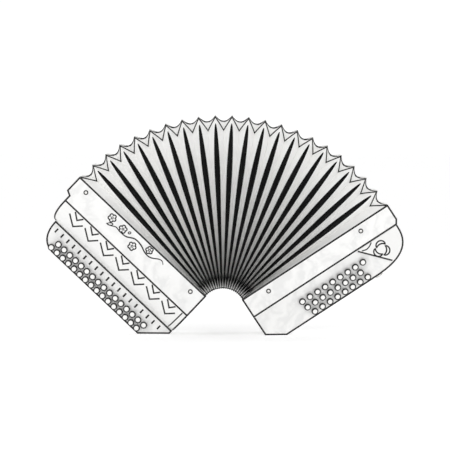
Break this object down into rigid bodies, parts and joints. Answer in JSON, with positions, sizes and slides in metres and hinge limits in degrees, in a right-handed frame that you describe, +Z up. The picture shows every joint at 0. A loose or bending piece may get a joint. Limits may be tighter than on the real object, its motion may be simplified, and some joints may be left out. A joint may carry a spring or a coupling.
{
  "type": "button accordion",
  "caption": "Button accordion standing fanned open on the cut corners of its treble and bass cases, with key levers, bass buttons and folding bellows.",
  "frame": {"origin": "middle of the footprint of the whole instrument, on the surface it stands on", "axes": "+Z up; +X from the treble side to the bass side; -Y is the side with the buttons, which faces the listener"},
  "size_m": [0.7014, 0.1824, 0.4307],
  "materials": {
    "case_celluloid": "polished pearl-white celluloid with black inlay lines",
    "grille_enamel": "white enamel with black engraved lines",
    "inner_beech": "plain sanded beech",
    "deck_spruce": "plain sanded spruce",
    "bellows_cloth": "white bookcloth over card, with black tape on the ridges",
    "nickel": "polished nickel",
    "button_pearl": "polished pearl buttons on enamelled levers"
  },
  "bodies": {
    "treble_side": {"treble_case": "case_celluloid", "treble_bellows_frame": "inner_beech", "treble_deck": "deck_spruce", "treble_reed_block": "inner_beech", "treble_grille": "grille_enamel", "treble_back_cover": "case_celluloid", "treble_keyboard": "case_celluloid", "treble_key_axle": "nickel", "treble_pin_upper": "nickel", "treble_pin_lower": "nickel"},
    "bellows_fold_1": {"bellows_section_1": "bellows_cloth"},
    "bellows_fold_2": {"bellows_section_2": "bellows_cloth"},
    "bellows_fold_3": {"bellows_section_3": "bellows_cloth"},
    "bellows_fold_4": {"bellows_section_4": "bellows_cloth"},
    "bellows_fold_5": {"bellows_section_5": "bellows_cloth"},
    "bellows_fold_6": {"bellows_section_6": "bellows_cloth"},
    "bass_side": {"bass_case": "case_celluloid", "bass_bellows_frame": "inner_beech", "bass_deck": "deck_spruce", "bass_reed_block": "inner_beech", "bass_cover": "case_celluloid", "bass_corner_plate": "grille_enamel", "bass_pin_upper": "nickel", "bass_pin_lower": "nickel"},
    "bass_buttons_inner_row": {"bass_buttons_inner_row": "button_pearl"},
    "bass_buttons_middle_row": {"bass_buttons_middle_row": "button_pearl"},
    "bass_buttons_outer_row": {"bass_buttons_outer_row": "button_pearl"},
    "bass_air_valve": {"bass_air_valve": "nickel"},
    "treble_key_outer_01": {"treble_key_outer_01": "button_pearl"},
    "treble_key_outer_02": {"treble_key_outer_02": "button_pearl"},
    "treble_key_outer_03": {"treble_key_outer_03": "button_pearl"},
    "treble_key_outer_04": {"treble_key_outer_04": "button_pearl"},
    "treble_key_outer_05": {"treble_key_outer_05": "button_pearl"},
    "treble_key_outer_06": {"treble_key_outer_06": "button_pearl"},
    "treble_key_outer_07": {"treble_key_outer_07": "button_pearl"},
    "treble_key_outer_08": {"treble_key_outer_08": "button_pearl"},
    "treble_key_outer_09": {"treble_key_outer_09": "button_pearl"},
    "treble_key_outer_10": {"treble_key_outer_10": "button_pearl"},
    "treble_key_outer_11": {"treble_key_outer_11": "button_pearl"},
    "treble_key_outer_12": {"treble_key_outer_12": "button_pearl"},
    "treble_key_outer_13": {"treble_key_outer_13": "button_pearl"},
    "treble_key_outer_14": {"treble_key_outer_14": "button_pearl"},
    "treble_key_outer_15": {"treble_key_outer_15": "button_pearl"},
    "treble_key_outer_16": {"treble_key_outer_16": "button_pearl"},
    "treble_key_inner_01": {"treble_key_inner_01": "button_pearl"},
    "treble_key_inner_02": {"treble_key_inner_02": "button_pearl"},
    "treble_key_inner_03": {"treble_key_inner_03": "button_pearl"},
    "treble_key_inner_04": {"treble_key_inner_04": "button_pearl"},
    "treble_key_inner_05": {"treble_key_inner_05": "button_pearl"},
    "treble_key_inner_06": {"treble_key_inner_06": "button_pearl"},
    "treble_key_inner_07": {"treble_key_inner_07": "button_pearl"},
    "treble_key_inner_08": {"treble_key_inner_08": "button_pearl"},
    "treble_key_inner_09": {"treble_key_inner_09": "button_pearl"},
    "treble_key_inner_10": {"treble_key_inner_10": "button_pearl"},
    "treble_key_inner_11": {"treble_key_inner_11": "button_pearl"},
    "treble_key_inner_12": {"treble_key_inner_12": "button_pearl"},
    "treble_key_inner_13": {"treble_key_inner_13": "button_pearl"},
    "treble_key_inner_14": {"treble_key_inner_14": "button_pearl"},
    "treble_key_inner_15": {"treble_key_inner_15": "button_pearl"},
    "treble_key_inner_16": {"treble_key_inner_16": "button_pearl"}
  },
  "joints": [
    {"name": "bellows_bend_7", "type": "hinge", "parent": "bellows_fold_6", "child": "bass_side", "pos_m": [0.03057, 0.00115, 0.07557], "axis": [0, 1, 0], "range_deg": [-14.77, 0]},
    {"name": "bellows_bend_1", "type": "hinge", "parent": "treble_side", "child": "bellows_fold_1", "pos_m": [-0.03065, 0.00115, 0.08114], "axis": [0, 1, 0], "range_deg": [-14.77, 0], "deforming": ["bellows_section_1"]},
    {"name": "bellows_bend_2", "type": "hinge", "parent": "bellows_fold_1", "child": "bellows_fold_2", "pos_m": [-0.02103, 0.00115, 0.08709], "axis": [0, 1, 0], "range_deg": [-14.77, 0], "deforming": ["bellows_section_2"]},
    {"name": "bellows_bend_3", "type": "hinge", "parent": "bellows_fold_2", "child": "bellows_fold_3", "pos_m": [-0.01021, 0.00115, 0.09039], "axis": [0, 1, 0], "range_deg": [-14.77, 0], "deforming": ["bellows_section_3"]},
    {"name": "bellows_bend_4", "type": "hinge", "parent": "bellows_fold_3", "child": "bellows_fold_4", "pos_m": [0.0011, 0.00115, 0.09082], "axis": [0, 1, 0], "range_deg": [-14.77, 0], "deforming": ["bellows_section_4"]},
    {"name": "bellows_bend_5", "type": "hinge", "parent": "bellows_fold_4", "child": "bellows_fold_5", "pos_m": [0.01214, 0.00115, 0.08835], "axis": [0, 1, 0], "range_deg": [-14.77, 0], "deforming": ["bellows_section_5"]},
    {"name": "bellows_bend_6", "type": "hinge", "parent": "bellows_fold_5", "child": "bellows_fold_6", "pos_m": [0.02218, 0.00115, 0.08316], "axis": [0, 1, 0], "range_deg": [-14.77, 0], "deforming": ["bellows_section_6"]},
    {"name": "bass_inner_row_press", "type": "slide", "parent": "bass_side", "child": "bass_buttons_inner_row", "axis": [-0.2028, 0.9285, 0.3111], "range_m": [0, 0.003], "stiffness_N_per_m": 400, "springref_m": -0.004},
    {"name": "bass_middle_row_press", "type": "slide", "parent": "bass_side", "child": "bass_buttons_middle_row", "axis": [-0.2028, 0.9285, 0.3111], "range_m": [0, 0.003], "stiffness_N_per_m": 400, "springref_m": -0.004},
    {"name": "bass_outer_row_press", "type": "slide", "parent": "bass_side", "child": "bass_buttons_outer_row", "axis": [-0.2028, 0.9285, 0.3111], "range_m": [0, 0.003], "stiffness_N_per_m": 400, "springref_m": -0.004},
    {"name": "air_valve_press", "type": "slide", "parent": "bass_side", "child": "bass_air_valve", "axis": [-0.5461, 0, 0.8377], "range_m": [0, 0.004], "stiffness_N_per_m": 300, "springref_m": -0.006},
    {"name": "key_outer_01_press", "type": "hinge", "parent": "treble_side", "child": "treble_key_outer_01", "pos_m": [-0.21427, -0.00385, 0.12352], "axis": [0.7254, 0, -0.6884], "range_deg": [0, 3.8], "stiffness_Nm_per_rad": 0.05, "springref_deg": -22.92},
    {"name": "key_outer_02_press", "type": "hinge", "parent": "treble_side", "child": "treble_key_outer_02", "pos_m": [-0.21427, -0.00385, 0.12352], "axis": [0.7254, 0, -0.6884], "range_deg": [0, 3.8], "stiffness_Nm_per_rad": 0.05, "springref_deg": -22.92},
    {"name": "key_outer_03_press", "type": "hinge", "parent": "treble_side", "child": "treble_key_outer_03", "pos_m": [-0.21427, -0.00385, 0.12352], "axis": [0.7254, 0, -0.6884], "range_deg": [0, 3.8], "stiffness_Nm_per_rad": 0.05, "springref_deg": -22.92},
    {"name": "key_outer_04_press", "type": "hinge", "parent": "treble_side", "child": "treble_key_outer_04", "pos_m": [-0.21427, -0.00385, 0.12352], "axis": [0.7254, 0, -0.6884], "range_deg": [0, 3.8], "stiffness_Nm_per_rad": 0.05, "springref_deg": -22.92},
    {"name": "key_outer_05_press", "type": "hinge", "parent": "treble_side", "child": "treble_key_outer_05", "pos_m": [-0.21427, -0.00385, 0.12352], "axis": [0.7254, 0, -0.6884], "range_deg": [0, 3.8], "stiffness_Nm_per_rad": 0.05, "springref_deg": -22.92},
    {"name": "key_outer_06_press", "type": "hinge", "parent": "treble_side", "child": "treble_key_outer_06", "pos_m": [-0.21427, -0.00385, 0.12352], "axis": [0.7254, 0, -0.6884], "range_deg": [0, 3.8], "stiffness_Nm_per_rad": 0.05, "springref_deg": -22.92},
    {"name": "key_outer_07_press", "type": "hinge", "parent": "treble_side", "child": "treble_key_outer_07", "pos_m": [-0.21427, -0.00385, 0.12352], "axis": [0.7254, 0, -0.6884], "range_deg": [0, 3.8], "stiffness_Nm_per_rad": 0.05, "springref_deg": -22.92},
    {"name": "key_outer_08_press", "type": "hinge", "parent": "treble_side", "child": "treble_key_outer_08", "pos_m": [-0.21427, -0.00385, 0.12352], "axis": [0.7254, 0, -0.6884], "range_deg": [0, 3.8], "stiffness_Nm_per_rad": 0.05, "springref_deg": -22.92},
    {"name": "key_outer_09_press", "type": "hinge", "parent": "treble_side", "child": "treble_key_outer_09", "pos_m": [-0.21427, -0.00385, 0.12352], "axis": [0.7254, 0, -0.6884], "range_deg": [0, 3.8], "stiffness_Nm_per_rad": 0.05, "springref_deg": -22.92},
    {"name": "key_outer_10_press", "type": "hinge", "parent": "treble_side", "child": "treble_key_outer_10", "pos_m": [-0.21427, -0.00385, 0.12352], "axis": [0.7254, 0, -0.6884], "range_deg": [0, 3.8], "stiffness_Nm_per_rad": 0.05, "springref_deg": -22.92},
    {"name": "key_outer_11_press", "type": "hinge", "parent": "treble_side", "child": "treble_key_outer_11", "pos_m": [-0.21427, -0.00385, 0.12352], "axis": [0.7254, 0, -0.6884], "range_deg": [0, 3.8], "stiffness_Nm_per_rad": 0.05, "springref_deg": -22.92},
    {"name": "key_outer_12_press", "type": "hinge", "parent": "treble_side", "child": "treble_key_outer_12", "pos_m": [-0.21427, -0.00385, 0.12352], "axis": [0.7254, 0, -0.6884], "range_deg": [0, 3.8], "stiffness_Nm_per_rad": 0.05, "springref_deg": -22.92},
    {"name": "key_outer_13_press", "type": "hinge", "parent": "treble_side", "child": "treble_key_outer_13", "pos_m": [-0.21427, -0.00385, 0.12352], "axis": [0.7254, 0, -0.6884], "range_deg": [0, 3.8], "stiffness_Nm_per_rad": 0.05, "springref_deg": -22.92},
    {"name": "key_outer_14_press", "type": "hinge", "parent": "treble_side", "child": "treble_key_outer_14", "pos_m": [-0.21427, -0.00385, 0.12352], "axis": [0.7254, 0, -0.6884], "range_deg": [0, 3.8], "stiffness_Nm_per_rad": 0.05, "springref_deg": -22.92},
    {"name": "key_outer_15_press", "type": "hinge", "parent": "treble_side", "child": "treble_key_outer_15", "pos_m": [-0.21427, -0.00385, 0.12352], "axis": [0.7254, 0, -0.6884], "range_deg": [0, 3.8], "stiffness_Nm_per_rad": 0.05, "springref_deg": -22.92},
    {"name": "key_outer_16_press", "type": "hinge", "parent": "treble_side", "child": "treble_key_outer_16", "pos_m": [-0.21427, -0.00385, 0.12352], "axis": [0.7254, 0, -0.6884], "range_deg": [0, 3.8], "stiffness_Nm_per_rad": 0.05, "springref_deg": -22.92},
    {"name": "key_inner_01_press", "type": "hinge", "parent": "treble_side", "child": "treble_key_inner_01", "pos_m": [-0.21427, -0.00385, 0.12352], "axis": [0.7254, 0, -0.6884], "range_deg": [0, 5.2], "stiffness_Nm_per_rad": 0.05, "springref_deg": -22.92},
    {"name": "key_inner_02_press", "type": "hinge", "parent": "treble_side", "child": "treble_key_inner_02", "pos_m": [-0.21427, -0.00385, 0.12352], "axis": [0.7254, 0, -0.6884], "range_deg": [0, 5.2], "stiffness_Nm_per_rad": 0.05, "springref_deg": -22.92},
    {"name": "key_inner_03_press", "type": "hinge", "parent": "treble_side", "child": "treble_key_inner_03", "pos_m": [-0.21427, -0.00385, 0.12352], "axis": [0.7254, 0, -0.6884], "range_deg": [0, 5.2], "stiffness_Nm_per_rad": 0.05, "springref_deg": -22.92},
    {"name": "key_inner_04_press", "type": "hinge", "parent": "treble_side", "child": "treble_key_inner_04", "pos_m": [-0.21427, -0.00385, 0.12352], "axis": [0.7254, 0, -0.6884], "range_deg": [0, 5.2], "stiffness_Nm_per_rad": 0.05, "springref_deg": -22.92},
    {"name": "key_inner_05_press", "type": "hinge", "parent": "treble_side", "child": "treble_key_inner_05", "pos_m": [-0.21427, -0.00385, 0.12352], "axis": [0.7254, 0, -0.6884], "range_deg": [0, 5.2], "stiffness_Nm_per_rad": 0.05, "springref_deg": -22.92},
    {"name": "key_inner_06_press", "type": "hinge", "parent": "treble_side", "child": "treble_key_inner_06", "pos_m": [-0.21427, -0.00385, 0.12352], "axis": [0.7254, 0, -0.6884], "range_deg": [0, 5.2], "stiffness_Nm_per_rad": 0.05, "springref_deg": -22.92},
    {"name": "key_inner_07_press", "type": "hinge", "parent": "treble_side", "child": "treble_key_inner_07", "pos_m": [-0.21427, -0.00385, 0.12352], "axis": [0.7254, 0, -0.6884], "range_deg": [0, 5.2], "stiffness_Nm_per_rad": 0.05, "springref_deg": -22.92},
    {"name": "key_inner_08_press", "type": "hinge", "parent": "treble_side", "child": "treble_key_inner_08", "pos_m": [-0.21427, -0.00385, 0.12352], "axis": [0.7254, 0, -0.6884], "range_deg": [0, 5.2], "stiffness_Nm_per_rad": 0.05, "springref_deg": -22.92},
    {"name": "key_inner_09_press", "type": "hinge", "parent": "treble_side", "child": "treble_key_inner_09", "pos_m": [-0.21427, -0.00385, 0.12352], "axis": [0.7254, 0, -0.6884], "range_deg": [0, 5.2], "stiffness_Nm_per_rad": 0.05, "springref_deg": -22.92},
    {"name": "key_inner_10_press", "type": "hinge", "parent": "treble_side", "child": "treble_key_inner_10", "pos_m": [-0.21427, -0.00385, 0.12352], "axis": [0.7254, 0, -0.6884], "range_deg": [0, 5.2], "stiffness_Nm_per_rad": 0.05, "springref_deg": -22.92},
    {"name": "key_inner_11_press", "type": "hinge", "parent": "treble_side", "child": "treble_key_inner_11", "pos_m": [-0.21427, -0.00385, 0.12352], "axis": [0.7254, 0, -0.6884], "range_deg": [0, 5.2], "stiffness_Nm_per_rad": 0.05, "springref_deg": -22.92},
    {"name": "key_inner_12_press", "type": "hinge", "parent": "treble_side", "child": "treble_key_inner_12", "pos_m": [-0.21427, -0.00385, 0.12352], "axis": [0.7254, 0, -0.6884], "range_deg": [0, 5.2], "stiffness_Nm_per_rad": 0.05, "springref_deg": -22.92},
    {"name": "key_inner_13_press", "type": "hinge", "parent": "treble_side", "child": "treble_key_inner_13", "pos_m": [-0.21427, -0.00385, 0.12352], "axis": [0.7254, 0, -0.6884], "range_deg": [0, 5.2], "stiffness_Nm_per_rad": 0.05, "springref_deg": -22.92},
    {"name": "key_inner_14_press", "type": "hinge", "parent": "treble_side", "child": "treble_key_inner_14", "pos_m": [-0.21427, -0.00385, 0.12352], "axis": [0.7254, 0, -0.6884], "range_deg": [0, 5.2], "stiffness_Nm_per_rad": 0.05, "springref_deg": -22.92},
    {"name": "key_inner_15_press", "type": "hinge", "parent": "treble_side", "child": "treble_key_inner_15", "pos_m": [-0.21427, -0.00385, 0.12352], "axis": [0.7254, 0, -0.6884], "range_deg": [0, 5.2], "stiffness_Nm_per_rad": 0.05, "springref_deg": -22.92},
    {"name": "key_inner_16_press", "type": "hinge", "parent": "treble_side", "child": "treble_key_inner_16", "pos_m": [-0.21427, -0.00385, 0.12352], "axis": [0.7254, 0, -0.6884], "range_deg": [0, 5.2], "stiffness_Nm_per_rad": 0.05, "springref_deg": -22.92}
  ],
  "couplings": [
    {"joint": "bellows_bend_1", "follows": "bellows_bend_7", "ratio": 1},
    {"joint": "bellows_bend_2", "follows": "bellows_bend_7", "ratio": 1},
    {"joint": "bellows_bend_3", "follows": "bellows_bend_7", "ratio": 1},
    {"joint": "bellows_bend_4", "follows": "bellows_bend_7", "ratio": 1},
    {"joint": "bellows_bend_5", "follows": "bellows_bend_7", "ratio": 1},
    {"joint": "bellows_bend_6", "follows": "bellows_bend_7", "ratio": 1}
  ]
}
